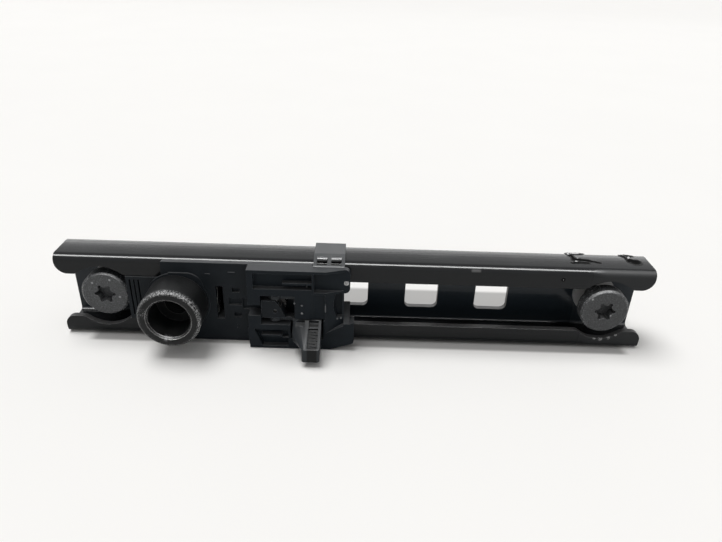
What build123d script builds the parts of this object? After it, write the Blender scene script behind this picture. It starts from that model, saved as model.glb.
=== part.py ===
from build123d import *

import os

# Seat belt height adjuster: a slotted steel rail with a slider that locks in steps.
# Millimetres. +X runs along the rail, +Y goes into the pillar, +Z across the rail.
# The origin is on the rail's mounting face, midway between the two anchor bolts.

# Rail, a folded steel channel with inward lips
bolt_pitch = 210
rail_end = 18
rail_width = 37.5
rail_depth = 18
rail_sheet = 2.5
rail_rear_bend = 4
rail_front_bend = 3
lip_gap = 20.4
upper_lip_end_radius = 5
lower_lip_end_radius = 4
lip_end_margin = 0.2
notch_radius = 14
notch_blend = 3.5
bolt_hole = 11.5

# Locking windows in the web
window_length = 14.5
window_height = 20.4
window_corner = 2.5
window_pitch = 31
window_count = 4
first_window_x = -32.7

# Anchor bolts, one at each end, held captive by a plastic ring
head_diameter = 20
head_height = 6
head_edge = 0.8
neck_diameter = 8.8
neck_length = 13
shank_diameter = 10
shank_length = 27
shank_point = 2.5
shank_point_taper = 1.4
left_head_out = 16.4
right_head_out = 18.8
drive_across = 8.83
drive_depth = 4
drive_lobes = 6
drive_core_share = 0.4
drive_lobe_share = 0.14
drive_valley_share = 0.19
drive_valley_pitch_share = 0.54
ring_diameter = 18
ring_thickness = 1.5
ring_slots = 4
ring_slot_width = 1.6
ring_slot_length = 4

# Running clearances
running_gap = 0.3
bearing_gap = 0.05
near = 0.01

# Carrier plate of the slider
carrier_left = -88
carrier_right = -6
carrier_back = 10.7
carrier_thickness = 3
carrier_corner = 2

# Guide shoes on the carrier's edges
shoe_left = -92
shoe_right = -5
shoe_wall = 1.75
shoe_boss_gap = 1.2
shoe_chamfer = 1.6
shoe_pocket_count = 5
shoe_pocket_wall = 7
shoe_pocket_edge = 3.7
shoe_pocket_corner = 1.2
shoe_pocket_depth = 0.6

# Boss for the belt guide ring
boss_x = -73.4
boss_front = 35
boss_diameter = 25.2
boss_seat = 21
boss_neck = 17.2
boss_spigot = 16
boss_flange = 20
boss_flange_thickness = 1.5
boss_edge = 0.7
socket_diameter = 16.9
socket_depth = 13
thread_diameter = 9.9

# Front plate of the slider, with its block between the lips
plate_left = -79
plate_right = -5.5
plate_thickness = 2.1
plate_margin = 0.35
plate_corner = 1
collar_diameter = 26.8
collar_tab_left = -76
collar_tab_right = -62.2
collar_tab_top = 13.7
collar_tab_corner = 6.5
block_left = -94.6
nose_rim = 1.3
nose_proud = 0.2
nose_gap = 1
nose_pocket_depth = 3
nose_rib_width = 1.2
leaf_slot_offset = 17.4
leaf_slot_width = 3
leaf_slot_height = 15.5
small_window_depth = 1.2
upper_window_left = -50.7
upper_window_right = -47.5
upper_window_top = 7.3
upper_window_bottom = 5.1
middle_window_left = -52.4
middle_window_right = -47
middle_window_top = 2.2
middle_window_bottom = -1
lower_window_left = -50.4
lower_window_right = -47.3
lower_window_top = -4.5
lower_window_bottom = -6.8
heel_right = -2.1
heel_rise = 4
heel_foot = -5.6
stake_diameter = 4
stake_head = 5.6
stake_head_thickness = 0.8
stake_right = -12
stake_left = -46
block_gap = 0.25

# Mechanism housing on the front plate
housing_left = -43.6
housing_front = 25.5
housing_wall = 1
housing_foot_left = -44.1
housing_foot_top = -9.4
arm_right = -2.2
arm_bottom = 7.6
arm_corner = 2.2
arm_eye_x = -3.7
arm_eye_drop = 6.1
arm_eye_diameter = 1.8
column_right = -4.6
slant_left = -12
pocket_depth = 2.6
skirt_left = -13.4
skirt_right = -0.2
skirt_top_left = -12.5
skirt_top_left_z = -10.8
skirt_knee = -7
skirt_knee_z = -7.7
skirt_top_right_z = -4.8
skirt_foot_right = -9.9
skirt_foot_rise = 3.3
skirt_corner = 1.6
top_pocket_left = -41.2
top_pocket_right = -17.6
top_pocket_edge = 1.4
top_pocket_bottom = 10
top_pocket_rib = 12.6
top_pocket_rib_left = -29.3
recess_left = -16.8
recess_edge = 1
recess_bottom = 8.9
low_pocket_left = -41.5
low_pocket_foot = -38.2
low_pocket_right = -27.4
low_pocket_top = -9.3
low_pocket_edge = 1
low_rib_left = -38.6
low_rib_right = -30
low_rib = -12.3
arch_top = 8
arch_bottom = -3.5
arch_belly = 2.6
arch_foot = 1
arch_wall = 0.6
dish_right = -12.2
dish_depth = 0.5
dish_slope = 1.2
dish_top = 8
dish_left = -17.7
dish_rib_height = 3.6
dish_rib_middle = 2
side_slot_left = -46.6
side_slot_top = 2.4
side_slot_bottom = -2.7
side_slot_depth = 1
rib_thickness = 0.8

# Top clip over the upper flange
clip_left = -17.3
clip_right = -4.6
clip_sheet = 1
clip_lift = 0.8
clip_back = 3.2
clip_bend = 13
clip_drop = 1.6
clip_leg_seat = 5.2
clip_window = 4.2
clip_window_pitch = 5.8
clip_window_back = 15
clip_window_rim = 1.2
clip_bar = 2
clip_bar_angle = 23.4

# Locking bolt, its yoke and its spring
lock_length = 13.9
lock_height = 15.6
lock_head = 6
lock_edge = 0.6
lock_web_gap = 0.3
cup_diameter = 11.5
cup_depth = 4
stem_diameter = 8
yoke_spigot = 5
yoke_reach_left = 5.6
yoke_reach_right = 4.3
yoke_height = 8
yoke_thickness = 5
yoke_face = 1
yoke_shoulder = 1.9
yoke_shoulder_drop = 3.4
yoke_eye_drop = 0.9
yoke_behind_pin = 2.1
yoke_eye = 1.8
spring_wire = 1
spring_turns = 3.5
link_pin_diameter = 3
link_slot_play = 0.1
link_slot_reach = 0.3

# Release lever
pivot_x = -16
pivot_y = -21.7
pivot_pin_diameter = 2.6
pivot_pin_seat = 3
pivot_pin_edge = 0.3
hub_radius = 2.4
ear_thickness = 1.6
ear_bar = 2.8
ear_end_radius = 2.7
cavity_play = 0.9
root_play = 0.6
hub_play = 0.6
lever_room_depth = 4.6
lever_side_play = 1
lever_top_play = 0.6
lever_swing_gap = 1.2
yoke_window_wall = 6.2
tongue_left = -25.5
tongue_right = -13.7
tongue_top = -4.3
tongue_bottom = -12.4
tongue_tip_y = -38
tongue_tip_left = -20.8
tongue_tip_top = -10.4
tongue_tip_bottom = -16.9
tongue_shoulder_x = -24.8
tongue_shoulder_y = -34.9
tongue_corner = 1.5
cheek_root_x = -22.8
cheek_root_y = -28
cheek_tip_x = -19.8
cheek_angle = 30
trough_left = -18.7
trough_right = -14.6
trough_root = 5
trough_length = 8.8
trough_depth = 0.6
grip_pitch = 1.5
grip_groove = 0.8
grip_groove_depth = 0.5
grip_count = 5
root_pocket_left = -24.2
root_pocket_right = -20.7
root_pocket_length = 2.8
root_pocket_depth = 1.5
root_pocket_start = 0.8

# Anti-rattle leaf spring between the carrier and the web
leaf_thickness = 0.5
leaf_width = 8
leaf_length = 14
leaf_foot = 3
leaf_top = 3
leaf_bend = 1

# Places worked out from the sizes above
rail_length = bolt_pitch + 2 * rail_end
web_front = -rail_sheet
lip_front = -rail_depth
lip_back = lip_front + rail_sheet
flange_inside = rail_width / 2 - rail_sheet
lip_flat = rail_width / 2 - rail_front_bend - lip_gap / 2
carrier_front = -carrier_back - carrier_thickness
leaf_slot_x = boss_x + leaf_slot_offset
carrier_mid_x = (carrier_left + carrier_right) / 2
carrier_length = carrier_right - carrier_left
carrier_height = 2 * (flange_inside - running_gap - shoe_wall)
shoe_height = flange_inside - running_gap - boss_flange / 2 - shoe_boss_gap
plate_back = lip_front - running_gap
plate_front = plate_back - plate_thickness
plate_height = rail_width - 2 * plate_margin
block_height = lip_gap - 2 * block_gap
lock_x = first_window_x
lock_back = web_front - lock_web_gap
lock_front = lock_back - lock_head
cup_floor = lock_front + cup_depth
link_arm = pivot_x - lock_x
yoke_left = lock_x - yoke_reach_left
yoke_right = lock_x + yoke_reach_right
yoke_back = pivot_y + yoke_behind_pin
ear_outside = yoke_height / 2 + running_gap + ear_thickness
cavity_half = ear_outside + cavity_play
link_pin_half = ear_outside + running_gap
root_back = pivot_y - root_play
lever_room_left = tongue_left - lever_side_play
lever_room_right = pivot_x + hub_radius + hub_play
lever_room_bottom = tongue_bottom - lever_swing_gap
tongue_back = -housing_front + housing_wall
pin_top = recess_bottom - rib_thickness
pin_length = pin_top - tongue_bottom + pivot_pin_seat
housing_top = plate_height / 2
top_pocket_top = housing_top - top_pocket_edge
recess_top = housing_top - recess_edge
arm_eye_z = housing_top - arm_eye_drop
low_pocket_bottom = low_pocket_edge - housing_top
housing_deep = housing_front + plate_front
heel_slope = heel_rise / (housing_front + carrier_front)
clip_low = rail_width / 2 + clip_lift
clip_leg_low = housing_top - clip_leg_seat
clip_mid_x = (clip_left + clip_right) / 2
stake_z = block_height / 2 - stake_diameter / 2 - nose_rim
stake_spots = [(x, z) for x in (stake_left, stake_right) for z in (-stake_z, stake_z)]


def at_front(y):
    """Plane facing the viewer at depth y, with X to the right and Z up."""
    return Plane(origin=(0, y, 0), x_dir=(1, 0, 0), z_dir=(0, -1, 0))


def at_height(z):
    """Plane facing up at height z, with X to the right and Y going back."""
    return Plane.XY.offset(z)


def across(x):
    """Plane across the rail at x, with Y to the right and Z up."""
    return Plane.YZ.offset(x)


def rectangle_between(left, right, bottom, top, mode=Mode.ADD):
    """Rectangle given by its four sides in the current sketch."""
    with Locations(((left + right) / 2, (bottom + top) / 2)):
        Rectangle(right - left, top - bottom, mode=mode)


def lever_room():
    """Outline of the room for the yoke, the ears and the hub, in a front view."""
    rectangle_between(
        yoke_left - running_gap, lever_room_right, -cavity_half, cavity_half
    )
    rectangle_between(
        pivot_x - hub_radius - 2 * running_gap,
        lever_room_right,
        lever_room_bottom,
        -cavity_half,
    )


# Rail: closed tube, then the lip gap, notches, windows and bolt holes
with BuildPart() as rail:
    with BuildSketch(across(-rail_length / 2)) as rail_section:
        with Locations((-rail_depth / 2, 0)):
            Rectangle(rail_depth, rail_width)
        outer = rail_section.vertices().group_by(Axis.X)
        fillet(outer[-1], rail_rear_bend)
        front_corners = rail_section.vertices().group_by(Axis.X)[0]
        fillet(front_corners, rail_front_bend)
        with BuildSketch(mode=Mode.PRIVATE) as rail_hollow:
            with Locations((-rail_depth / 2, 0)):
                Rectangle(rail_depth - 2 * rail_sheet, rail_width - 2 * rail_sheet)
            inner = rail_hollow.vertices().group_by(Axis.X)
            fillet(inner[-1], rail_rear_bend - rail_sheet)
            front_inner = rail_hollow.vertices().group_by(Axis.X)[0]
            fillet(front_inner, rail_front_bend - rail_sheet)
        add(rail_hollow.sketch, mode=Mode.SUBTRACT)
    extrude(amount=rail_length)
    # Gap between the lips with a round notch at each bolt
    with BuildSketch(at_front(lip_front)) as mouth:
        Rectangle(rail_length + 2 * notch_radius, lip_gap)
        with GridLocations(bolt_pitch, 0, 2, 1):
            Circle(notch_radius)
        blend = (
            mouth.vertices()
            .filter_by(lambda v: abs(v.X) < rail_length / 2)
        )
        fillet(blend, notch_blend)
    extrude(amount=-rail_sheet, mode=Mode.SUBTRACT)
    lip_corners = (
        rail.edges()
        .filter_by(Axis.Y)
        .filter_by(lambda e: abs(abs(e.center().X) - rail_length / 2) < near)
        .filter_by(lambda e: abs(abs(e.center().Z) - lip_gap / 2) < near)
    )
    upper_corners = lip_corners.filter_by(lambda e: e.center().Z > 0)
    fillet(upper_corners, min(upper_lip_end_radius, lip_flat - lip_end_margin))
    lower_corners = lip_corners.filter_by(lambda e: e.center().Z < 0)
    fillet(lower_corners, min(lower_lip_end_radius, lip_flat - lip_end_margin))
    # Locking windows in a row
    with BuildSketch(at_front(web_front)):
        row_middle = first_window_x + window_pitch * (window_count - 1) / 2
        with Locations((row_middle, 0)):
            with GridLocations(window_pitch, 0, window_count, 1):
                RectangleRounded(window_length, window_height, window_corner)
        with GridLocations(bolt_pitch, 0, 2, 1):
            Circle(bolt_hole / 2)
    extrude(amount=-rail_sheet, mode=Mode.SUBTRACT)
rail.part.label = "rail"


# Anchor bolts, turned, with a six-lobe drive
def anchor_bolt(x, head_out):
    under_head = head_height - head_out
    shank_start = under_head + neck_length
    shank_end = under_head + shank_length
    with BuildPart() as bolt:
        with BuildSketch(Plane(origin=(x, 0, 0), x_dir=(1, 0, 0), z_dir=(0, 0, 1))):
            with BuildLine():
                Polyline(
                    (0, -head_out),
                    (head_diameter / 2 - head_edge, -head_out),
                    (head_diameter / 2, -head_out + head_edge),
                    (head_diameter / 2, under_head - head_edge / 2),
                    (head_diameter / 2 - head_edge / 2, under_head),
                    (neck_diameter / 2, under_head),
                    (neck_diameter / 2, shank_start),
                    (shank_diameter / 2, shank_start),
                    (shank_diameter / 2, shank_end - shank_point),
                    (shank_diameter / 2 - shank_point_taper, shank_end),
                    (0, shank_end),
                    close=True,
                )
            make_face()
        revolve(axis=Axis((x, 0, 0), (0, 1, 0)))
        lobe_radius = drive_across * drive_lobe_share
        lobe_turn = 360 / drive_lobes / 2
        with BuildSketch(at_front(-head_out)):
            with Locations((x, 0)):
                Circle(drive_across * drive_core_share)
                with PolarLocations(drive_across / 2 - lobe_radius, drive_lobes):
                    Circle(lobe_radius)
                with PolarLocations(drive_across * drive_valley_pitch_share, drive_lobes, lobe_turn):
                    Circle(drive_across * drive_valley_share, mode=Mode.SUBTRACT)
        extrude(amount=-drive_depth, mode=Mode.SUBTRACT)
    return bolt.part


# Retainer rings against the web
def bolt_retainer(x):
    with BuildPart() as ring:
        with BuildSketch(at_front(web_front)):
            with Locations((x, 0)):
                Circle(ring_diameter / 2)
                Circle(neck_diameter / 2 + bearing_gap, mode=Mode.SUBTRACT)
                with PolarLocations(neck_diameter / 2, ring_slots, 45):
                    Rectangle(ring_slot_length, ring_slot_width, mode=Mode.SUBTRACT)
        extrude(amount=ring_thickness)
    return ring.part


anchor_bolt_left = anchor_bolt(-bolt_pitch / 2, left_head_out)
anchor_bolt_left.label = "anchor_bolt_left"
anchor_bolt_right = anchor_bolt(bolt_pitch / 2, right_head_out)
anchor_bolt_right.label = "anchor_bolt_right"
bolt_retainer_left = bolt_retainer(-bolt_pitch / 2)
bolt_retainer_left.label = "bolt_retainer_left"
bolt_retainer_right = bolt_retainer(bolt_pitch / 2)
bolt_retainer_right.label = "bolt_retainer_right"

# Carrier plate with holes for the boss, the stem, the stakes and the leaf slot
with BuildPart() as carrier_plate:
    with BuildSketch(at_front(-carrier_back)):
        with Locations((carrier_mid_x, 0)):
            RectangleRounded(carrier_length, carrier_height, carrier_corner)
        with Locations((boss_x, 0)):
            Circle(boss_spigot / 2 + bearing_gap, mode=Mode.SUBTRACT)
        with Locations((lock_x, 0)):
            Circle(stem_diameter / 2 + bearing_gap, mode=Mode.SUBTRACT)
        with Locations((leaf_slot_x, 0)):
            SlotOverall(leaf_slot_height, leaf_slot_width, rotation=90, mode=Mode.SUBTRACT)
        with Locations(*stake_spots):
            Circle(stake_diameter / 2 + bearing_gap, mode=Mode.SUBTRACT)
    extrude(amount=carrier_thickness)
carrier_plate.part.label = "carrier_plate"


# Guide shoes, plastic channels that wrap the carrier's long edges
def guide_shoe(side):
    outer_z = flange_inside - running_gap
    front = lip_back + running_gap
    back = web_front - running_gap
    mid_z = side * (outer_z - shoe_height / 2)
    with BuildPart() as shoe:
        with BuildSketch(across(shoe_left)) as section:
            with Locations(((front + back) / 2, mid_z)):
                Rectangle(back - front, shoe_height)
            rear_outer = section.vertices().sort_by(Axis.X)[-2:].sort_by(Axis.Y)
            chamfer(rear_outer[-1] if side > 0 else rear_outer[0], shoe_chamfer)
            groove_depth = carrier_height / 2 - (outer_z - shoe_height)
            with Locations((-carrier_back - carrier_thickness / 2, side * (outer_z - shoe_height))):
                Rectangle(carrier_thickness, 2 * groove_depth, mode=Mode.SUBTRACT)
        extrude(amount=shoe_right - shoe_left)
        # Relief pockets in the running face
        with BuildSketch(at_height(side * outer_z)):
            with Locations(((shoe_left + shoe_right) / 2, (front + back) / 2)):
                pitch = (shoe_right - shoe_left) / shoe_pocket_count
                pocket_length = pitch - shoe_pocket_wall
                pocket_width = back - front - 2 * shoe_pocket_edge
                with GridLocations(pitch, 0, shoe_pocket_count, 1):
                    RectangleRounded(pocket_length, pocket_width, shoe_pocket_corner)
        extrude(amount=-side * shoe_pocket_depth, mode=Mode.SUBTRACT)
    return shoe.part


upper_guide_shoe = guide_shoe(1)
upper_guide_shoe.label = "upper_guide_shoe"
lower_guide_shoe = guide_shoe(-1)
lower_guide_shoe.label = "lower_guide_shoe"

# Boss, turned in one profile and riveted over behind the carrier
with BuildPart() as d_ring_boss:
    with BuildSketch(Plane(origin=(boss_x, 0, 0), x_dir=(1, 0, 0), z_dir=(0, 0, 1))):
        with BuildLine():
            Polyline(
                (thread_diameter / 2, -boss_front + socket_depth),
                (socket_diameter / 2, -boss_front + socket_depth),
                (socket_diameter / 2, -boss_front + boss_edge),
                (socket_diameter / 2 + boss_edge, -boss_front),
                (boss_diameter / 2 - boss_edge, -boss_front),
                (boss_diameter / 2, -boss_front + boss_edge),
                (boss_diameter / 2, -boss_seat),
                (boss_neck / 2, -boss_seat),
                (boss_neck / 2, carrier_front),
                (boss_spigot / 2, carrier_front),
                (boss_spigot / 2, -carrier_back),
                (boss_flange / 2, -carrier_back),
                (boss_flange / 2, -carrier_back + boss_flange_thickness),
                (thread_diameter / 2, -carrier_back + boss_flange_thickness),
                close=True,
            )
        make_face()
    revolve(axis=Axis((boss_x, 0, 0), (0, 1, 0)))
d_ring_boss.part.label = "d_ring_boss"

# Front plate: flat cover over the lips, block between them, nose at the left
with BuildPart() as front_plate:
    with BuildSketch(at_front(plate_back)) as cover:
        with Locations(((plate_left + plate_right) / 2, 0)):
            RectangleRounded(plate_right - plate_left, plate_height, plate_corner)
        rectangle_between(
            clip_left - running_gap,
            plate_right,
            clip_low - clip_drop - running_gap,
            plate_height / 2,
            mode=Mode.SUBTRACT,
        )
    extrude(amount=plate_thickness)
    with BuildSketch(at_front(carrier_front)) as block:
        with Locations(((block_left + carrier_right) / 2, 0)):
            Rectangle(carrier_right - block_left, block_height)
    extrude(amount=carrier_front - plate_back + nose_proud)
    with BuildSketch(at_front(plate_front)):
        with Locations((boss_x, 0)):
            Circle(collar_diameter / 2)
        with BuildSketch(mode=Mode.PRIVATE) as tab:
            rectangle_between(collar_tab_left, collar_tab_right, 0, collar_tab_top)
            tab_corner = tab.vertices().group_by(Axis.X)[-1].sort_by(Axis.Y)[-1]
            fillet(tab_corner, collar_tab_corner)
        add(tab.sketch)
    extrude(amount=boss_seat + plate_front)
    # Heel beside the column, with a ramp on top
    with BuildSketch(across(carrier_right)):
        with BuildLine():
            Polyline(
                (carrier_front, -block_height / 2),
                (carrier_front, heel_foot + heel_rise),
                (plate_front, heel_foot + heel_slope * housing_deep),
                (plate_front, -block_height / 2),
                close=True,
            )
        make_face()
    extrude(amount=heel_right - carrier_right)
    # Hole for the boss's neck
    with BuildSketch(at_front(-boss_seat)):
        with Locations((boss_x, 0)):
            Circle(boss_neck / 2 + running_gap)
    extrude(amount=carrier_front - boss_seat, mode=Mode.SUBTRACT)
    # Nose pocket with upright ribs
    nose_right = boss_x - collar_diameter / 2 - nose_gap
    with BuildSketch(at_front(plate_back - nose_proud)):
        with Locations(((block_left + nose_right) / 2, 0)):
            Rectangle(nose_right - block_left - 2 * nose_rim, block_height - 2 * nose_rim)
            rib_pitch = (nose_right - block_left) / 4
            with GridLocations(rib_pitch, 0, 2, 1):
                Rectangle(nose_rib_width, block_height, mode=Mode.SUBTRACT)
    extrude(amount=-nose_pocket_depth, mode=Mode.SUBTRACT)
    # Slot over the leaf spring
    with BuildSketch(at_front(plate_front)):
        with Locations((leaf_slot_x, 0)):
            Rectangle(leaf_slot_width, leaf_slot_height)
    extrude(amount=-(carrier_front - plate_front), mode=Mode.SUBTRACT)
    # Small blind windows, and the trough that meets the housing's side slot
    with BuildSketch(at_front(plate_front)):
        rectangle_between(
            upper_window_left, upper_window_right, upper_window_bottom, upper_window_top
        )
        rectangle_between(
            middle_window_left, middle_window_right, middle_window_bottom, middle_window_top
        )
        rectangle_between(
            lower_window_left, lower_window_right, lower_window_bottom, lower_window_top
        )
    extrude(amount=-small_window_depth, mode=Mode.SUBTRACT)
    with BuildSketch(at_front(plate_front)):
        rectangle_between(side_slot_left, yoke_left, side_slot_bottom, side_slot_top)
    extrude(amount=-side_slot_depth, mode=Mode.SUBTRACT)
    # Room for the lever and the yoke, and a guide for the stem
    with BuildSketch(at_front(plate_front)):
        lever_room()
    extrude(amount=-lever_room_depth, mode=Mode.SUBTRACT)
    with BuildSketch(at_front(plate_front)):
        with Locations((lock_x, 0)):
            Circle(stem_diameter / 2 + running_gap)
    extrude(amount=-(carrier_front - plate_front), mode=Mode.SUBTRACT)
    # Stakes through the carrier, melted over behind it
    with BuildSketch(at_front(carrier_front)):
        with Locations(*stake_spots):
            Circle(stake_diameter / 2)
    extrude(amount=-carrier_thickness)
    with BuildSketch(at_front(-carrier_back)):
        with Locations(*stake_spots):
            Circle(stake_head / 2)
    extrude(amount=-stake_head_thickness)
front_plate.part.label = "front_plate"

# Mechanism housing: an open-backed moulding with windows onto the lever and yoke
with BuildPart() as mechanism_housing:
    with BuildSketch(at_front(plate_front)) as outline:
        with BuildLine():
            Polyline(
                (housing_left, housing_top),
                (arm_right, housing_top),
                (arm_right, arm_bottom),
                (column_right, arm_bottom),
                (column_right, -housing_top),
                (housing_left, -housing_top),
                (housing_foot_left, housing_foot_top),
                (housing_left, housing_foot_top + rib_thickness),
                close=True,
            )
        make_face()
        arm_end = (
            outline.vertices()
            .filter_by(lambda v: abs(v.X - arm_right) < near)
        )
        fillet(arm_end, arm_corner)
    extrude(amount=housing_deep)
    # The front slants back towards the column and the arm's end
    with BuildSketch(at_height(-housing_top)):
        with BuildLine():
            Polyline(
                (slant_left, -housing_front),
                (skirt_right, -housing_front),
                (skirt_right, -housing_front + pocket_depth),
                (column_right, -housing_front + pocket_depth),
                close=True,
            )
        make_face()
    extrude(amount=plate_height, mode=Mode.SUBTRACT)
    # Heel below the column, with the same ramp as the block behind it
    with BuildSketch(across(column_right)):
        with BuildLine():
            Polyline(
                (plate_front, skirt_top_left_z),
                (plate_front, heel_foot + heel_slope * housing_deep),
                (-housing_front, heel_foot),
                (-housing_front, skirt_top_left_z),
                close=True,
            )
        make_face()
    extrude(amount=heel_right - column_right)
    # Skirt that stays at the full depth
    with BuildSketch(at_front(plate_front)) as skirt:
        with BuildLine():
            Polyline(
                (skirt_top_left, skirt_top_left_z),
                (skirt_knee, skirt_knee_z),
                (skirt_right, skirt_top_right_z),
                (skirt_right, -housing_top + skirt_foot_rise),
                (skirt_foot_right, -housing_top),
                (skirt_left, -housing_top),
                close=True,
            )
        make_face()
        skirt_end = (
            skirt.vertices()
            .filter_by(lambda v: abs(v.X - skirt_right) < near)
            .sort_by(Axis.Y)
        )
        fillet(skirt_end[0], skirt_corner)
    extrude(amount=housing_deep)
    # Room behind the front wall for the ears, the hub and the lever's root
    with BuildSketch(at_front(plate_front)):
        lever_room()
        rectangle_between(
            lever_room_left, lever_room_right, lever_room_bottom, -cavity_half
        )
    extrude(amount=housing_deep - housing_wall, mode=Mode.SUBTRACT)
    # Windows over the yoke and the lever's root
    with BuildSketch(at_front(-housing_front)):
        rectangle_between(
            yoke_left - running_gap,
            pivot_x - hub_radius - yoke_window_wall,
            -cavity_half,
            cavity_half,
        )
        rectangle_between(
            lever_room_left,
            tongue_right + lever_side_play,
            lever_room_bottom,
            tongue_top + lever_top_play,
        )
    extrude(amount=-housing_wall, mode=Mode.SUBTRACT)
    # Pockets above and below, with thin ribs left in them
    with BuildSketch(at_front(-housing_front)):
        rectangle_between(
            top_pocket_left, top_pocket_right, top_pocket_bottom, top_pocket_top
        )
        rectangle_between(
            top_pocket_rib_left,
            top_pocket_right,
            top_pocket_rib - rib_thickness / 2,
            top_pocket_rib + rib_thickness / 2,
            mode=Mode.SUBTRACT,
        )
        rectangle_between(recess_left, skirt_right, recess_bottom, recess_top)
        with BuildLine():
            Polyline(
                (low_pocket_left, low_pocket_top),
                (low_pocket_right, low_pocket_top),
                (low_pocket_right, low_pocket_bottom),
                (low_pocket_foot, low_pocket_bottom),
                close=True,
            )
        make_face()
        rectangle_between(
            low_rib_left,
            low_rib_right,
            low_rib - rib_thickness / 2,
            low_rib + rib_thickness / 2,
            mode=Mode.SUBTRACT,
        )
    extrude(amount=-pocket_depth, mode=Mode.SUBTRACT)
    # Blind arch beside the column's edge
    with BuildSketch(at_front(-housing_front)):
        with BuildLine():
            arch_side = column_right - arch_wall
            ThreePointArc(
                (arch_side - arch_belly, arch_top),
                (arch_side - arch_belly - arch_foot, (arch_top + arch_bottom) / 2),
                (arch_side - arch_belly + arch_foot / 2, arch_bottom),
            )
            Polyline(
                (arch_side - arch_belly + arch_foot / 2, arch_bottom),
                (arch_side, arch_bottom),
                (arch_side, arch_top),
                (arch_side - arch_belly, arch_top),
            )
        make_face()
    extrude(amount=rib_thickness - housing_deep, mode=Mode.SUBTRACT)
    # Eye in the arm, right through
    with BuildSketch(at_front(-housing_front)):
        with Locations((arm_eye_x, arm_eye_z)):
            Circle(arm_eye_diameter / 2)
    extrude(amount=-housing_deep, mode=Mode.SUBTRACT)
    # Slot through the left wall, in line with the yoke
    with BuildSketch(at_front(-housing_front)):
        rectangle_between(side_slot_left, yoke_left, side_slot_bottom, side_slot_top)
    extrude(amount=-housing_deep, mode=Mode.SUBTRACT)
    # Shallow dish over the hub, sloped at its left
    with BuildSketch(at_height(tongue_top)):
        with BuildLine():
            Polyline(
                (dish_left, -housing_front),
                (dish_left + dish_slope, -housing_front + dish_depth),
                (dish_right, -housing_front + dish_depth),
                (dish_right, -housing_front),
                close=True,
            )
        make_face()
    extrude(amount=dish_top - tongue_top, mode=Mode.SUBTRACT)
    # Upright rib beside the dish
    with BuildSketch(at_height(dish_rib_middle - dish_rib_height / 2)):
        with Locations((slant_left, -housing_front)):
            Rectangle(rib_thickness / 2, rib_thickness)
    extrude(amount=dish_rib_height)
    # Seat for the clip's leg, open at the top
    with BuildSketch(at_height(housing_top)):
        with Locations((clip_mid_x, plate_front - clip_sheet / 2)):
            Rectangle(clip_right - clip_left, clip_sheet)
    extrude(amount=-clip_leg_seat, mode=Mode.SUBTRACT)
    # Eyes for the pivot pin
    with BuildSketch(at_height(pin_top)):
        with Locations((pivot_x, pivot_y)):
            Circle(pivot_pin_diameter / 2)
    extrude(amount=-pin_length, mode=Mode.SUBTRACT)
mechanism_housing.part.label = "mechanism_housing"

# Pivot pin of the lever, held in the housing's eyes
with BuildPart() as lever_pivot_pin:
    with BuildSketch(at_height(pin_top)):
        with Locations((pivot_x, pivot_y)):
            Circle(pivot_pin_diameter / 2)
    extrude(amount=-pin_length)
    chamfer(lever_pivot_pin.edges().filter_by(GeomType.CIRCLE), pivot_pin_edge)
lever_pivot_pin.part.label = "lever_pivot_pin"

# Tongue of the release lever: plan and side profile, cheek, trough and root pockets
with BuildPart() as tongue:
    with BuildSketch(at_height(tongue_tip_bottom)):
        with BuildLine():
            side_line = FilletPolyline(
                (tongue_right, root_back),
                (tongue_left, root_back),
                (tongue_left, (tongue_back + tongue_tip_y) / 2),
                (tongue_shoulder_x, tongue_shoulder_y),
                (tongue_tip_left, tongue_tip_y),
                (tongue_right, tongue_tip_y),
                radius=tongue_corner,
            )
            Line(side_line @ 1, side_line @ 0)
        make_face()
    extrude(amount=tongue_top - tongue_tip_bottom)
    with BuildSketch(across(tongue_left)):
        with BuildLine():
            Polyline(
                (root_back, tongue_top),
                (tongue_back, tongue_top),
                (tongue_tip_y, tongue_tip_top),
                (tongue_tip_y, tongue_tip_bottom),
                (tongue_back, tongue_bottom),
                (root_back, tongue_bottom),
                close=True,
            )
        make_face()
    extrude(amount=tongue_right - tongue_left, mode=Mode.INTERSECT)
    # Cheek that falls away to the left
    fall = (tongue_top - tongue_tip_top) / (tongue_back - tongue_tip_y)
    cheek_root = Vector(cheek_root_x, cheek_root_y, tongue_top - fall * (tongue_back - cheek_root_y))
    cheek_tip = Vector(cheek_tip_x, tongue_tip_y, tongue_tip_top)
    cheek = Plane(origin=cheek_root, x_dir=cheek_tip - cheek_root, z_dir=(0, -fall, 1))
    split(bisect_by=cheek.rotated((cheek_angle, 0, 0)), keep=Keep.BOTTOM)
    # Trough along the top with grip grooves across it
    grip = Plane(origin=(0, tongue_back, tongue_top), x_dir=(1, 0, 0), z_dir=(0, -fall, 1))
    with BuildSketch(grip):
        rectangle_between(trough_left, trough_right, -trough_root - trough_length, -trough_root)
    extrude(amount=-trough_depth, mode=Mode.SUBTRACT)
    with BuildSketch(grip.offset(-trough_depth)):
        with Locations(((trough_left + trough_right) / 2, -trough_root - trough_length / 2)):
            with GridLocations(0, grip_pitch, 1, grip_count):
                Rectangle(trough_right - trough_left, grip_groove)
    extrude(amount=-grip_groove_depth, mode=Mode.SUBTRACT)
    # Two pockets at the root
    with BuildSketch(grip):
        for left, right in (
            (root_pocket_left, root_pocket_right),
            (trough_left, trough_right),
        ):
            rectangle_between(
                left,
                right,
                -root_pocket_start - root_pocket_length,
                -root_pocket_start,
            )
    extrude(amount=-root_pocket_depth, mode=Mode.SUBTRACT)

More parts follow.
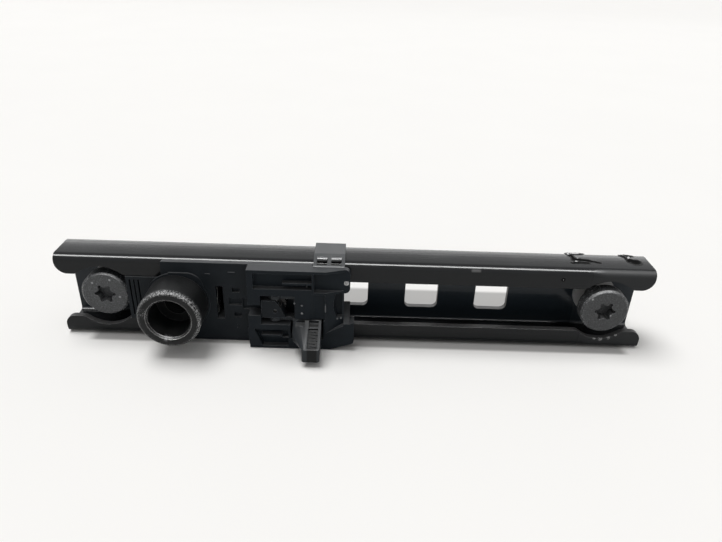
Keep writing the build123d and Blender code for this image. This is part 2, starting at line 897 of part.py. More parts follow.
# Release lever: hub and two slotted ears, joined to the tongue
with BuildPart() as release_lever:
    with BuildSketch(at_height(tongue_bottom)):
        with Locations((pivot_x, pivot_y)):
            Circle(hub_radius)
    extrude(amount=ear_outside - tongue_bottom)
    with BuildSketch(at_height(-ear_outside), at_height(ear_outside - ear_thickness)):
        with Locations((pivot_x - link_arm / 2, pivot_y)):
            Rectangle(link_arm, ear_bar)
        with Locations((lock_x, pivot_y)):
            Circle(ear_end_radius)
        with Locations((lock_x - link_slot_reach / 2, pivot_y)):
            SlotOverall(
                link_pin_diameter + 2 * link_slot_play + link_slot_reach,
                link_pin_diameter + 2 * link_slot_play,
                mode=Mode.SUBTRACT,
            )
    extrude(amount=ear_thickness)
    add(tongue.part)
    with BuildSketch(at_height(pin_top)):
        with Locations((pivot_x, pivot_y)):
            Circle(pivot_pin_diameter / 2 + bearing_gap)
    extrude(amount=-pin_length, mode=Mode.SUBTRACT)
release_lever.part.label = "release_lever"

# Locking bolt: square head for the windows, cup for the spring, stem to the yoke
with BuildPart() as locking_bolt:
    with BuildSketch(at_front(lock_front)):
        with Locations((lock_x, 0)):
            RectangleRounded(lock_length, lock_height, window_corner)
            Circle(stem_diameter / 2, mode=Mode.SUBTRACT)
    extrude(amount=-lock_head)
    chamfer(locking_bolt.edges().group_by(Axis.Y)[-1], lock_edge)
    with BuildSketch(at_front(lock_front)):
        with Locations((lock_x, 0)):
            Circle(cup_diameter / 2)
    extrude(amount=-cup_depth, mode=Mode.SUBTRACT)
    with BuildSketch(at_front(lock_back)):
        with Locations((lock_x, 0)):
            Circle(stem_diameter / 2)
    extrude(amount=lock_back - yoke_back)
    with BuildSketch(at_front(yoke_back)):
        with Locations((lock_x, 0)):
            Circle(yoke_spigot / 2)
    extrude(amount=yoke_thickness - yoke_face)
    with BuildSketch(at_height(link_pin_half)):
        with Locations((lock_x, pivot_y)):
            Circle(link_pin_diameter / 2)
    extrude(amount=-2 * link_pin_half, mode=Mode.SUBTRACT)
locking_bolt.part.label = "locking_bolt"

# Yoke on the stem's end, with a slanted shoulder and a small eye
with BuildPart() as bolt_yoke:
    with BuildSketch(at_front(yoke_back)):
        with BuildLine():
            Polyline(
                (yoke_left, yoke_height / 2),
                (lock_x, yoke_height / 2),
                (yoke_right - yoke_shoulder, yoke_height / 2 - yoke_shoulder_drop),
                (yoke_right, -yoke_height / 2),
                (yoke_left, -yoke_height / 2),
                close=True,
            )
        make_face()
    extrude(amount=yoke_thickness)
    with BuildSketch(at_front(yoke_back)):
        with Locations((lock_x, 0)):
            Circle(yoke_spigot / 2)
    extrude(amount=yoke_thickness - yoke_face, mode=Mode.SUBTRACT)
    with BuildSketch(at_front(yoke_back - yoke_thickness)):
        with Locations((lock_x, -yoke_eye_drop)):
            Circle(yoke_eye / 2)
    extrude(amount=-yoke_face, mode=Mode.SUBTRACT)
    with BuildSketch(at_height(link_pin_half)):
        with Locations((lock_x, pivot_y)):
            Circle(link_pin_diameter / 2)
    extrude(amount=-2 * link_pin_half, mode=Mode.SUBTRACT)
bolt_yoke.part.label = "bolt_yoke"

# Link pin through the yoke, the stem's spigot and the lever's slotted ears
with BuildPart() as link_pin:
    with BuildSketch(at_height(link_pin_half)):
        with Locations((lock_x, pivot_y)):
            Circle(link_pin_diameter / 2)
    extrude(amount=-2 * link_pin_half)
link_pin.part.label = "link_pin"

# Coil spring between the carrier and the floor of the locking bolt's cup
spring_radius = (cup_diameter - spring_wire) / 2 - running_gap
spring_height = cup_floor + carrier_back - spring_wire
spring_start = (lock_x, -carrier_back + spring_wire / 2, 0)
with BuildPart() as locking_spring:
    with BuildLine() as coil:
        Helix(
            spring_height / spring_turns,
            spring_height,
            spring_radius,
            center=spring_start,
            direction=(0, 1, 0),
        )
    with BuildSketch(Plane(origin=coil.line @ 0, z_dir=coil.line % 0)):
        Circle(spring_wire / 2)
    sweep()
locking_spring.part.label = "locking_spring"

# Anti-rattle leaf, bowed from the carrier towards the web
leaf_rise = carrier_back + web_front - running_gap
with BuildPart() as anti_rattle_spring:
    with BuildSketch(at_height(-leaf_width / 2)):
        with BuildLine():
            leaf_line = FilletPolyline(
                (leaf_slot_x - leaf_length / 2, -carrier_back),
                (leaf_slot_x - leaf_length / 2 + leaf_foot, -carrier_back),
                (leaf_slot_x - leaf_top / 2, -carrier_back + leaf_rise - leaf_thickness),
                (leaf_slot_x + leaf_top / 2, -carrier_back + leaf_rise - leaf_thickness),
                (leaf_slot_x + leaf_length / 2 - leaf_foot, -carrier_back),
                (leaf_slot_x + leaf_length / 2, -carrier_back),
                radius=leaf_bend,
            )
            offset(amount=leaf_thickness, side=Side.LEFT)
        make_face()
    extrude(amount=leaf_width)
anti_rattle_spring.part.label = "anti_rattle_spring"

# Top clip: flat over the flange, slanted over the bend, leg down in the housing
with BuildPart() as top_guide_clip:
    with BuildSketch(across(clip_left)):
        with BuildLine():
            Polyline(
                (-clip_back, clip_low),
                (-clip_bend, clip_low),
                (plate_front, clip_low - clip_drop),
                (plate_front, clip_leg_low),
            )
            offset(amount=clip_sheet, side=Side.RIGHT)
        make_face()
    extrude(amount=clip_right - clip_left)
    # Two windows in the slanted part
    window_front = plate_front - clip_sheet + clip_window_rim
    with BuildSketch(at_height(clip_low + clip_sheet)):
        with Locations((clip_mid_x, (window_front - clip_window_back) / 2)):
            with GridLocations(clip_window_pitch, 0, 2, 1):
                Rectangle(clip_window, -clip_window_back - window_front)
    extrude(amount=-clip_drop - 2 * clip_sheet, mode=Mode.SUBTRACT)
top_guide_clip.part.label = "top_guide_clip"

# Glide bars across the clip's windows, which run on the rail's front bend
bend_to_bar = rail_front_bend + running_gap + clip_bar / 2
bend_middle = (lip_front + rail_front_bend, rail_width / 2 - rail_front_bend)
bar_centre = Vector(*bend_middle) + Vector(0, bend_to_bar).rotate(Axis.Z, clip_bar_angle)
with BuildPart() as top_glide_bars:
    for side in (-1, 1):
        bar_left = clip_mid_x + (side * clip_window_pitch - clip_window) / 2
        with BuildSketch(across(bar_left)):
            with Locations((bar_centre.X, bar_centre.Y)):
                Circle(clip_bar / 2)
        extrude(amount=clip_window)
top_glide_bars.part.label = "top_glide_bars"

os.makedirs("parts", exist_ok=True)
export_step(rail.part, "parts/rail.step")
export_step(anchor_bolt_left, "parts/anchor_bolt_left.step")
export_step(anchor_bolt_right, "parts/anchor_bolt_right.step")
export_step(bolt_retainer_left, "parts/bolt_retainer_left.step")
export_step(bolt_retainer_right, "parts/bolt_retainer_right.step")
export_step(carrier_plate.part, "parts/carrier_plate.step")
export_step(upper_guide_shoe, "parts/upper_guide_shoe.step")
export_step(lower_guide_shoe, "parts/lower_guide_shoe.step")
export_step(d_ring_boss.part, "parts/d_ring_boss.step")
export_step(front_plate.part, "parts/front_plate.step")
export_step(mechanism_housing.part, "parts/mechanism_housing.step")
export_step(lever_pivot_pin.part, "parts/lever_pivot_pin.step")
export_step(release_lever.part, "parts/release_lever.step")
export_step(locking_bolt.part, "parts/locking_bolt.step")
export_step(bolt_yoke.part, "parts/bolt_yoke.step")
export_step(link_pin.part, "parts/link_pin.step")
export_step(locking_spring.part, "parts/locking_spring.step")
export_step(anti_rattle_spring.part, "parts/anti_rattle_spring.step")
export_step(top_guide_clip.part, "parts/top_guide_clip.step")
export_step(top_glide_bars.part, "parts/top_glide_bars.step")
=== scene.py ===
import math

import bmesh
import bpy
from mathutils import Matrix, Vector, noise


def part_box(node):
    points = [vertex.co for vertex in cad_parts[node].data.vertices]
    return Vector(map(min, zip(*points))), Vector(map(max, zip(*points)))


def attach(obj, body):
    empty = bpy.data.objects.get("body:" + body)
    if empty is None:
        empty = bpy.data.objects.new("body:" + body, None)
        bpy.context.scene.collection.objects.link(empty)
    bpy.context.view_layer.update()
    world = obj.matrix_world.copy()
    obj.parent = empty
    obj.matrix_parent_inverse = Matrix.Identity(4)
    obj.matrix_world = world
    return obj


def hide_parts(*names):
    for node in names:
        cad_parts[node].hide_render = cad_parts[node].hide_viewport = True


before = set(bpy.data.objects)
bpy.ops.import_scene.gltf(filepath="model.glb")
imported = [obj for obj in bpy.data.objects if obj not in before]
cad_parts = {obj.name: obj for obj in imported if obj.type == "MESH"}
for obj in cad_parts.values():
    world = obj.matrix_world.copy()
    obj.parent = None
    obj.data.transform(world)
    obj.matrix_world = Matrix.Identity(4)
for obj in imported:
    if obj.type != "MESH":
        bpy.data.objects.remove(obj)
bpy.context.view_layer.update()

# Seat belt height adjuster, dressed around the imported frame.
# Lengths are in millimetres, except the floor's size, the lamps and the camera's clipping,
# which are in metres.
# +X runs along the rail, +Y goes into the pillar and away from the viewer, +Z is up.
MM = 0.001
scene = bpy.context.scene


def in_mm(corners):
    low, high = corners
    return low / MM, high / MM


# Places and sizes read from the frame
rail_low, rail_high = in_mm(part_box("rail"))
left_low, left_high = in_mm(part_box("anchor_bolt_left"))
right_low, right_high = in_mm(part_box("anchor_bolt_right"))
boss_low, boss_high = in_mm(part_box("d_ring_boss"))
plate_low, _ = in_mm(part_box("front_plate"))
housing_low, _ = in_mm(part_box("mechanism_housing"))
rail_top, rail_face, floor_z = rail_high.z, rail_low.y, rail_low.z
left_bolt_x = (left_low.x + left_high.x) / 2
right_bolt_x = (right_low.x + right_high.x) / 2
head_radius = (left_high.x - left_low.x) / 2
boss_x = (boss_low.x + boss_high.x) / 2
boss_radius = (boss_high.x - boss_low.x) / 2

# Faces that carry raised details, told from the foremost point of their node
plate_face = plate_low.y + 0.6
rib_face = housing_low.y
housing_face = housing_low.y + 0.4
pocket_face = housing_face + 2.6
pocket_wall_near, pocket_wall_far = housing_face + 1.7, housing_face + 2.2

# Rail: its sheet, the front of its web and the back of its lips, how far the cut faces in the
# web stand forward of its back, and how far from the middle the lips' cut edges reach
sheet = 2.5
web_face, lip_back = -sheet, rail_face + sheet
cut_depth = 2.05
lip_reach = 15.7

# Release lever's tongue, and the trough that its material darkens
tongue_left, tongue_right = -25.5, -13.7
tongue_top, tongue_bottom = -4.3, -12.4
tongue_back, tongue_tip = -24.35, -38.0
trough_left, trough_right = -18.9, -14.7


class Tree:
    """A material with one shader, and short calls for the nodes that feed it."""

    def __init__(self, name):
        self.material = bpy.data.materials.new(name)
        self.material.use_nodes = True
        self.nodes = self.material.node_tree.nodes
        self.links = self.material.node_tree.links
        self.nodes.clear()
        output = self.nodes.new("ShaderNodeOutputMaterial")
        self.shader = self.nodes.new("ShaderNodeBsdfPrincipled")
        self.links.new(self.shader.outputs["BSDF"], output.inputs["Surface"])
        self.metres = self.nodes.new("ShaderNodeTexCoord").outputs["Object"]
        self.place = self.vector("MULTIPLY", self.metres, (1 / MM, 1 / MM, 1 / MM))
        self.flat_normal = self.nodes.new("ShaderNodeNewGeometry").outputs["Normal"]

    def put(self, socket, value):
        if isinstance(value, bpy.types.NodeSocket):
            self.links.new(value, socket)
        elif value is not None:
            socket.default_value = value

    def set(self, **values):
        for name, value in values.items():
            self.put(self.shader.inputs[name.replace("_", " ")], value)

    def math(self, operation, a, b=None):
        node = self.nodes.new("ShaderNodeMath")
        node.operation = operation
        self.put(node.inputs[0], a)
        self.put(node.inputs[1], b)
        return node.outputs[0]

    def size_of(self, a):
        return self.math("ABSOLUTE", a)

    def plus(self, a, b):
        return self.math("ADD", a, b)

    def times(self, first, *rest):
        for value in rest:
            first = self.math("MULTIPLY", first, value)
        return first

    def most(self, first, *rest):
        for value in rest:
            first = self.math("MAXIMUM", first, value)
        return first

    def vector(self, operation, a, b=None):
        node = self.nodes.new("ShaderNodeVectorMath")
        node.operation = operation
        self.put(node.inputs[0], a)
        self.put(node.inputs[1], b)
        single = operation in ("LENGTH", "DISTANCE", "DOT_PRODUCT")
        return node.outputs["Value" if single else "Vector"]

    def split(self, source=None):
        """The x, y and z of a vector, or of the place in millimetres."""
        node = self.nodes.new("ShaderNodeSeparateXYZ")
        self.links.new(source or self.place, node.inputs[0])
        return node.outputs["X"], node.outputs["Y"], node.outputs["Z"]

    def noise(self, cells, detail=3.0, roughness=0.5, stretch=(1, 1, 1)):
        """Noise with that many cells to a millimetre."""
        node = self.nodes.new("ShaderNodeTexNoise")
        scaled = self.vector("MULTIPLY", self.metres, tuple(cells / MM * s for s in stretch))
        self.links.new(scaled, node.inputs["Vector"])
        node.inputs["Scale"].default_value = 1
        node.inputs["Detail"].default_value = detail
        node.inputs["Roughness"].default_value = roughness
        return node.outputs["Fac"]

    def ramp(self, value, low, high, low_out=0.0, high_out=1.0):
        """low_out at low to high_out at high, with a smooth step between."""
        node = self.nodes.new("ShaderNodeMapRange")
        node.interpolation_type = "SMOOTHSTEP"
        self.put(node.inputs["Value"], value)
        node.inputs["From Min"].default_value = low
        node.inputs["From Max"].default_value = high
        node.inputs["To Min"].default_value = low_out
        node.inputs["To Max"].default_value = high_out
        return node.outputs["Result"]

    def band(self, value, low, high, soft):
        """1 between low and high, 0 outside, with soft sides."""
        rise = self.ramp(value, low - soft, low + soft)
        return self.times(rise, self.ramp(value, high - soft, high + soft, 1, 0))

    def mix(self, share, a, b):
        node = self.nodes.new("ShaderNodeMix")
        node.data_type = "RGBA"
        self.put(node.inputs["Factor"], share)
        self.put(node.inputs[6], a)
        self.put(node.inputs[7], b)
        return node.outputs[2]

    def coats(self, base, *layers):
        """Lays layers of (mask, share, colour) over base, one after the other."""
        for mask, share, colour in layers:
            base = self.mix(self.times(mask, share), base, colour)
        return base

    def spot(self, point, inner, outer):
        """1 within inner of a point, 0 beyond outer."""
        away = self.vector("DISTANCE", self.place, tuple(point))
        return self.ramp(away, inner, outer, 1, 0)

    def radius_from(self, x, z=0.0):
        """Distance from the axis along Y through x and z."""
        around = self.vector("SUBTRACT", self.place, (x, 0, z))
        return self.vector("LENGTH", self.vector("MULTIPLY", around, (1, 0, 1)))

    def soft_edges(self, radius):
        """A normal that rounds sharp edges, and a mask that is 1 near them."""
        bevel = self.nodes.new("ShaderNodeBevel")
        bevel.samples = 4
        bevel.inputs["Radius"].default_value = radius * MM
        rounded = bevel.outputs["Normal"]
        agree = self.vector("DOT_PRODUCT", rounded, self.flat_normal)
        return rounded, self.ramp(agree, 0.80, 0.98, 1, 0)

    def bump(self, height, distance, normal=None, strength=1.0):
        node = self.nodes.new("ShaderNodeBump")
        node.inputs["Distance"].default_value = distance * MM
        node.inputs["Strength"].default_value = strength
        self.put(node.inputs["Height"], height)
        self.put(node.inputs["Normal"], normal)
        return node.outputs["Normal"]


def grey(v, blue=0.0):
    """A grey of tone v, which a positive blue turns bluer."""
    return (v, v * (1 + blue * 0.5), v * (1 + blue), 1)


# Rail: gloss black coat, drawn along its length
coat_low, coat_high = 0.0050, 0.0085  # darkest and palest tone
coat_specular = 0.2
dome_rise, dome_curve = 0.105, 0.0056  # slope and curve of the walls' crown
rub_x, rub_z = (47.1, 50.8), (16.5, 17.5)  # pale rub on the upper bend
rub_front = rail_face + 1.4
scuff_place = (-64.2, -13.4, 18.7)  # on the top wall, by the boss
gloss_end = (94, 104)  # where the bend's gloss fades, at the right

# Worn spots on the lower lip, at the right notch, which are also painted highlights of its cut
# edge: x, z, radius of the core and of the fringe
notch_marks = ((103.6, -13.9, 0.3, 0.9), (106.2, -14.1, 0.4, 1.3),
               (109.6, -13.5, 0.3, 1.0), (112.4, -12.0, 0.3, 0.8))


def sheared_faces(t, y, z):
    """Mask of the cut faces at the windows, the lips and the ends."""
    nx, ny, _ = t.split(t.flat_normal)
    facing, height = t.size_of(ny), t.size_of(z)
    in_web = t.times(t.ramp(facing, 0.3, 0.6, 1, 0), t.ramp(y, -cut_depth, 0.05 - cut_depth),
                     t.ramp(height, 15, 16, 1, 0))
    at_lip = t.times(t.ramp(y, lip_back + 0.1, lip_back),
                     t.ramp(height, lip_reach - 0.1, lip_reach + 0.1, 1, 0),
                     t.ramp(facing, 0.2, 0.4, 1, 0))
    at_end = t.ramp(t.size_of(nx), 0.6, 0.9)
    return t.times(t.most(in_web, at_end, at_lip), t.ramp(t.noise(1.5, 4), 0.3, 0.6, 0.55, 1))


def rail_coat():
    t = Tree("rail_black_coat")
    x, y, z = t.split()
    _, facing_y, _ = t.split(t.flat_normal)
    rounded, edge = t.soft_edges(0.3)
    _, round_y, round_z = t.split(rounded)
    draw = t.noise(0.9, 3, 0.6, stretch=(0.008, 1, 1))
    cloud = t.noise(0.05, 4, 0.6, stretch=(0.5, 1, 1))
    peel = t.noise(0.55, 2)
    dust = t.ramp(t.noise(1.4, 6, 0.8), 0.66, 0.78)
    scratch = t.ramp(t.noise(1.1, 6, 0.75, stretch=(0.05, 1, 1)), 0.66, 0.74)
    chips = t.ramp(t.noise(0.7, 5, 0.7), 0.5, 0.62)
    sheared = sheared_faces(t, y, z)

    # Marks that the handling left
    rub = t.times(t.band(x, *rub_x, 0.5), t.band(z, *rub_z, 0.25),
                  t.ramp(y, rub_front, rub_front + 0.3, 1, 0))
    scuff = t.times(t.spot(scuff_place, 0.6, 3.2), scratch)
    marks = t.most(rub, scuff)
    # Worn spots at the right notch, which are also painted highlights
    notch_spots = [t.spot((mark_x, rail_face + 0.1, mark_z), core, fringe)
                   for mark_x, mark_z, core, fringe in notch_marks]
    notch_wear_and_glints = t.times(t.most(*notch_spots), t.ramp(t.noise(1.8, 5, 0.7), 0.44, 0.56))

    # Front of the web, painted bluer and paler for the light that falls on it, and the bend at the
    # rail's foot, painted paler as a reflection of the floor
    web = t.times(t.ramp(y, web_face - 0.9, web_face - 0.4), t.ramp(facing_y, -0.6, -0.9))
    painted_web_light_tone = t.mix(cloud, grey(0.013, 0.7), grey(0.020, 0.6))
    painted_bend_reflection = t.times(t.band(round_z, -0.95, -0.55, 0.12),
                       t.ramp(y, rail_face + 4.5, rail_face + 3),
                       t.ramp(z, floor_z + 3.75, floor_z + 2.75))
    base = t.mix(cloud, grey(coat_low, 0.3), grey(coat_high, 0.35))
    base = t.coats(base,
                   (draw, 0.5, grey(coat_high * 1.6, 0.1)),
                   (web, 1, painted_web_light_tone),
                   (scratch, 0.12, grey(0.05)),
                   (dust, 0.12, grey(0.12)),
                   (painted_bend_reflection, 0.7, grey(0.09)),
                   (sheared, 0.8, grey(0.075)),
                   (t.times(edge, chips), 0.35, grey(0.16)),
                   (marks, 0.6, grey(0.14)),
                   (notch_wear_and_glints, 0.85, grey(0.5)))
    dull_bend = t.times(t.ramp(x, *gloss_end), t.ramp(round_y, -0.2, -0.45))
    rough = t.ramp(cloud, 0.3, 0.7, 0.13, 0.20)
    for mask, more in ((scratch, 0.12), (t.most(sheared, marks), 0.3), (dull_bend, 0.42)):
        rough = t.plus(rough, t.times(mask, more))
    t.set(Base_Color=base, Roughness=rough, Specular_IOR_Level=coat_specular)

    # Walls that crown a little between their bends
    crown = t.plus(t.times(y, -dome_rise), t.times(y, y, -dome_curve))
    normal = t.bump(crown, 1, rounded)
    t.set(Normal=t.bump(peel, 0.012, t.bump(draw, 0.025, normal)))
    return t.material


# The same coat on the slider's steel carrier
def carrier_coat():
    t = Tree("carrier_black_coat")
    rounded, edge = t.soft_edges(0.25)
    cloud = t.noise(0.08, 4, 0.6)
    scratch = t.ramp(t.noise(1.1, 6, 0.75, stretch=(0.06, 1, 1)), 0.64, 0.74)
    base = t.coats(t.mix(cloud, grey(coat_low), grey(coat_high, 0.15)),
                   (scratch, 0.3, grey(0.05)), (edge, 0.3, grey(0.12)))
    t.set(Base_Color=base, Roughness=t.ramp(cloud, 0.3, 0.7, 0.2, 0.3),
          Specular_IOR_Level=coat_specular)
    t.set(Normal=t.bump(t.noise(0.6, 2), 0.02, rounded))
    return t.material


# Torn coat: burrs pale like bare steel and painted as highlights where they stand up, and the
# scars between them painted dark as shade in their grooves
def torn_coat():
    t = Tree("torn_coat")
    tone = t.nodes.new("ShaderNodeAttribute")
    tone.attribute_name = "rise"
    high = t.ramp(tone.outputs["Fac"], 0.45, 0.9)
    painted_scar_shade = t.ramp(tone.outputs["Fac"], -0.02, -0.4)
    grit = t.noise(1.6, 6, 0.8)
    base = t.coats(t.mix(grit, grey(0.004), grey(0.012)),
                   (high, t.ramp(grit, 0.35, 0.5), grey(0.75)), (painted_scar_shade, 0.8, grey(0.001)))
    rough = t.plus(t.ramp(grit, 0.3, 0.7, 0.22, 0.4), t.times(painted_scar_shade, 0.6))
    t.set(Base_Color=base, Roughness=rough, Specular_IOR_Level=0.03)
    t.set(Normal=t.bump(grit, 0.12))
    return t.material


# Phosphated steel of an anchor bolt: grainy between tones low and high, paler at the rim,
# with bright nicks, each given across from the axis, behind the head's face and up from the axis
def bolt_finish(name, axis_x, face_y, low, high, nicks):
    t = Tree(name)
    rounded, edge = t.soft_edges(0.25)
    fine = t.noise(1.7, 5, 0.7)
    coarse = t.noise(0.6, 4, 0.6)
    cloud = t.noise(0.16, 4)
    rim = t.band(t.radius_from(axis_x), head_radius - 1, head_radius + 1, 0.5)
    worn = t.most(t.times(edge, t.ramp(coarse, 0.42, 0.6), 0.9),
                  t.times(rim, t.ramp(fine, 0.54, 0.62), 0.7))
    for across, behind, above in nicks:
        worn = t.most(worn, t.spot((axis_x + across, face_y + behind, above), 0.2, 0.65))
    base = t.coats(t.mix(cloud, grey(low, 0.12), grey(high, 0.12)),
                   (t.ramp(fine, 0.5, 0.66), 0.75, grey(high * 2.4, 0.08)),
                   (t.ramp(fine, 0.48, 0.34), 0.75, grey(low * 0.3)),
                   (worn, 0.75, grey(0.42, 0.05)))
    t.set(Base_Color=base, Roughness=t.ramp(coarse, 0.3, 0.7, 0.42, 0.58),
          Specular_IOR_Level=0.35)
    t.set(Normal=t.bump(coarse, 0.03, t.bump(fine, 0.035, rounded)))
    return t.material


# Blackened steel of the boss, with a rubbed rim, a bright bore mouth and a painted highlight on
# the bore's lower lip
def boss_finish():
    t = Tree("boss_steel")
    x, y, z = t.split()
    rounded, edge = t.soft_edges(0.55)
    fine = t.noise(1.6, 6, 0.75)
    coarse = t.noise(0.6, 4, 0.6)
    cloud = t.noise(0.14, 4)
    turned = t.noise(1.0, 2, 0.5, stretch=(0.02, 3, 0.02))
    radius = t.radius_from(boss_x)

    def on_face(across, above, behind=0.0):
        return (boss_x + across, boss_low.y + behind, above)

    # Speckle on the rim, most of it at the top and on the right, a cluster on the left, two nicks
    # at the top, and a painted highlight below the bore
    front = t.ramp(y, boss_low.y + 3.2, boss_low.y + 0.4)
    rim = t.times(t.ramp(radius, boss_radius - 1.6, boss_radius - 0.7), front)
    toward = t.plus(t.times(t.math("SUBTRACT", x, boss_x), 0.55), t.times(z, 0.85))
    rubbed = t.ramp(toward, -6, 9, 0.28, 1)
    speckle = t.times(rim, t.ramp(fine, 0.47, 0.6), rubbed)
    cluster = t.times(t.spot(on_face(-9.2, 2.4), 0.8, 3.0), t.ramp(fine, 0.52, 0.62), 0.8)
    nicks = t.most(t.spot(on_face(7.0, 10.6), 0.2, 0.7),
                   t.spot(on_face(-0.2, 12.4, 1.5), 0.2, 0.6))
    painted_glint = t.times(t.spot(on_face(-1.6, -8.3, 0.5), 1.0, 2.6), t.ramp(coarse, 0.4, 0.6), 0.4)
    # This also carries the painted highlight below the bore
    worn = t.most(speckle, cluster, nicks, painted_glint)

    # Bare edges of the mouth and the rim, a painted highlight on the lip below the bore, and the
    # duller edges behind
    mouth = t.times(edge, t.ramp(radius, boss_radius - 1.5, boss_radius - 2.5), front,
                    t.ramp(coarse, 0.3, 0.5, 0.6, 1))
    outer = t.times(edge, rim, rubbed, t.ramp(fine, 0.4, 0.55))
    painted_lip_highlight = t.times(t.spot(on_face(-1.8, -8.1, 0.4), 1.8, 3.4), t.ramp(edge, 0.15, 0.5),
                      t.ramp(radius, boss_radius - 2.8, boss_radius - 3.4))
    behind = t.times(edge, t.ramp(y, boss_low.y + 6, boss_low.y + 8))
    base = t.coats(t.mix(cloud, grey(0.004, 0.15), grey(0.008, 0.15)),
                   (t.ramp(fine, 0.56, 0.7), 0.5, grey(0.05)),
                   (worn, 0.9, grey(0.50, 0.02)),
                   (behind, 0.5, grey(0.10)),
                   (t.most(mouth, outer), 0.9, grey(0.78)),
                   (painted_lip_highlight, 1, grey(0.95)))
    rough = t.plus(t.ramp(cloud, 0.3, 0.7, 0.34, 0.46), t.times(worn, 0.08))
    t.set(Base_Color=base, Roughness=rough, Specular_IOR_Level=0.18, Metallic=t.times(mouth, 0.7))
    t.set(Normal=t.bump(fine, 0.035, t.bump(turned, 0.02, rounded), 0.8))
    return t.material


# Moulded plastic: fine spark grain, paler rubbed edges, and a pale film on what looks up: some
# dust, and painted sheen from the light above.
# tone and rough are (low, high), level the specular level, rub and the film tone the tones of the
# edges and of that film.
# An eye (x, z, radius) is painted white as the lit floor seen through it, and a trough (x, x)
# painted dark as shade in the hollow.
def moulded(name, tone, rough, level, blue, rub, dust_and_sheen_tone=0.06, painted_light_eye=None, trough=None):
    t = Tree(name)
    rounded, edge = t.soft_edges(0.22)
    grain = t.noise(4.5, 3, 0.6)
    flow = t.noise(0.35, 3, stretch=(0.3, 1, 1))
    cloud = t.noise(0.12, 3)
    dust = t.ramp(t.noise(1.9, 6, 0.8), 0.66, 0.76)
    # Painted sheen from the light above, with some dust, on what looks up
    dust_and_sheen_on_top = t.ramp(t.split(rounded)[2], 0.55, 0.9)
    base = t.coats(t.mix(cloud, *(grey(v, blue) for v in tone)),
                   (edge, t.ramp(flow, 0.35, 0.6, 0.2, 0.7), grey(rub, 0.2)),
                   (dust, 0.08, grey(0.2)),
                   (dust_and_sheen_on_top, t.ramp(cloud, 0.3, 0.7, 0.75, 1), grey(dust_and_sheen_tone, 0.1)))
    # The trough is painted dark as shade in its hollow
    if trough:
        x, y, _ = t.split()
        painted_trough_shade = t.times(t.band(x, *trough, 0.1),
                         t.ramp(y, tongue_back - 0.95, tongue_back - 0.65, 1, 0),
                         t.ramp(edge, 0.2, 0.7, 1, 0.2))
        base = t.coats(base, (painted_trough_shade, 0.85, grey(0.0015)))
    # The eye is painted white as the lit floor seen through it
    if painted_light_eye:
        eye_x, eye_z, eye_radius = painted_light_eye
        inside = t.ramp(t.radius_from(eye_x, eye_z), eye_radius, eye_radius + 0.02, 1, 0)
        base = t.mix(inside, base, grey(0.9))
    t.set(Base_Color=base, Specular_IOR_Level=level,
          Roughness=t.plus(t.ramp(cloud, 0.3, 0.7, *rough), t.times(grain, 0.06)))
    t.set(Normal=t.bump(flow, 0.02, t.bump(grain, 0.012, rounded)))
    return t.material


# Bare steel of the pins, springs and locking bolt, between tones low and high, with its lines
# drawn out by stretch
def bare_steel(name, low, high, stretch):
    t = Tree(name)
    rounded, _ = t.soft_edges(0.12)
    lines = t.noise(1.4, 4, 0.6, stretch=stretch)
    stain = t.ramp(t.noise(0.5, 4, 0.6), 0.45, 0.7)
    base = t.coats(t.mix(lines, grey(low), grey(high)), (stain, 0.4, grey(low * 0.45)))
    rough = t.plus(t.ramp(lines, 0.3, 0.7, 0.24, 0.36), t.times(stain, 0.12))
    t.set(Base_Color=base, Metallic=1.0, Roughness=rough)
    t.set(Normal=t.bump(lines, 0.012, rounded))
    return t.material


left_nicks = ((-4.6, 0, 5.2), (2.8, 0, 6.8), (6.0, 0, -1.2), (3.4, 2.4, -3.6))
right_nicks = ((2.6, 0, -1.8), (4.2, 0, -9.0), (-6.4, 0, 5.8))
coat = rail_coat()
carrier = carrier_coat()
torn = torn_coat()
left_bolt = bolt_finish("left_bolt_steel", left_bolt_x, left_low.y, 0.036, 0.055, left_nicks)
right_bolt = bolt_finish("right_bolt_steel", right_bolt_x, right_low.y, 0.024, 0.040, right_nicks)
boss_steel = boss_finish()
plastic = moulded("black_plastic", tone=(0.0065, 0.0105), rough=(0.38, 0.5), level=0.10,
                  blue=0.7, rub=0.07)
housing_plastic = moulded("housing_plastic", tone=(0.0055, 0.0095), rough=(0.36, 0.48),
                          level=0.09, blue=0.9, rub=0.11, painted_light_eye=(-3.7, 12.3, 0.95))
# The yoke's edges are painted much paler: partly rubbed, partly a painted highlight along them
yoke_plastic = moulded("yoke_plastic", tone=(0.005, 0.009), rough=(0.36, 0.48), level=0.10,
                       blue=0.7, rub=0.35)
clip_plastic = moulded("clip_plastic", tone=(0.024, 0.032), rough=(0.4, 0.5), level=0.3,
                       blue=0.2, rub=0.10)
lever_plastic = moulded("lever_plastic", tone=(0.022, 0.030), rough=(0.36, 0.46), level=0.14,
                        blue=0.25, rub=0.22, dust_and_sheen_tone=0.05,
                        trough=(trough_left + 0.15, trough_right - 0.15))
# Pale plastic for the pips and the upright rib: its paleness is a painted highlight for their
# glints
painted_glint_plastic = moulded("painted_glint_plastic", tone=(0.06, 0.09), rough=(0.3, 0.4), level=0.3,
                      blue=0.1, rub=0.3, dust_and_sheen_tone=0.12)
bar_plastic = moulded("bar_plastic", tone=(0.07, 0.10), rough=(0.28, 0.36), level=0.5,
                      blue=0.05, rub=0.2, dust_and_sheen_tone=0.11)
pale_plastic = moulded("grey_plastic", tone=(0.25, 0.32), rough=(0.4, 0.5), level=0.5,
                       blue=0.0, rub=0.4, dust_and_sheen_tone=0.35)
oiled_steel = bare_steel("oiled_steel", 0.05, 0.10, (1, 0.3, 1))
spring_steel = bare_steel("spring_steel", 0.20, 0.34, (1, 1, 0.2))

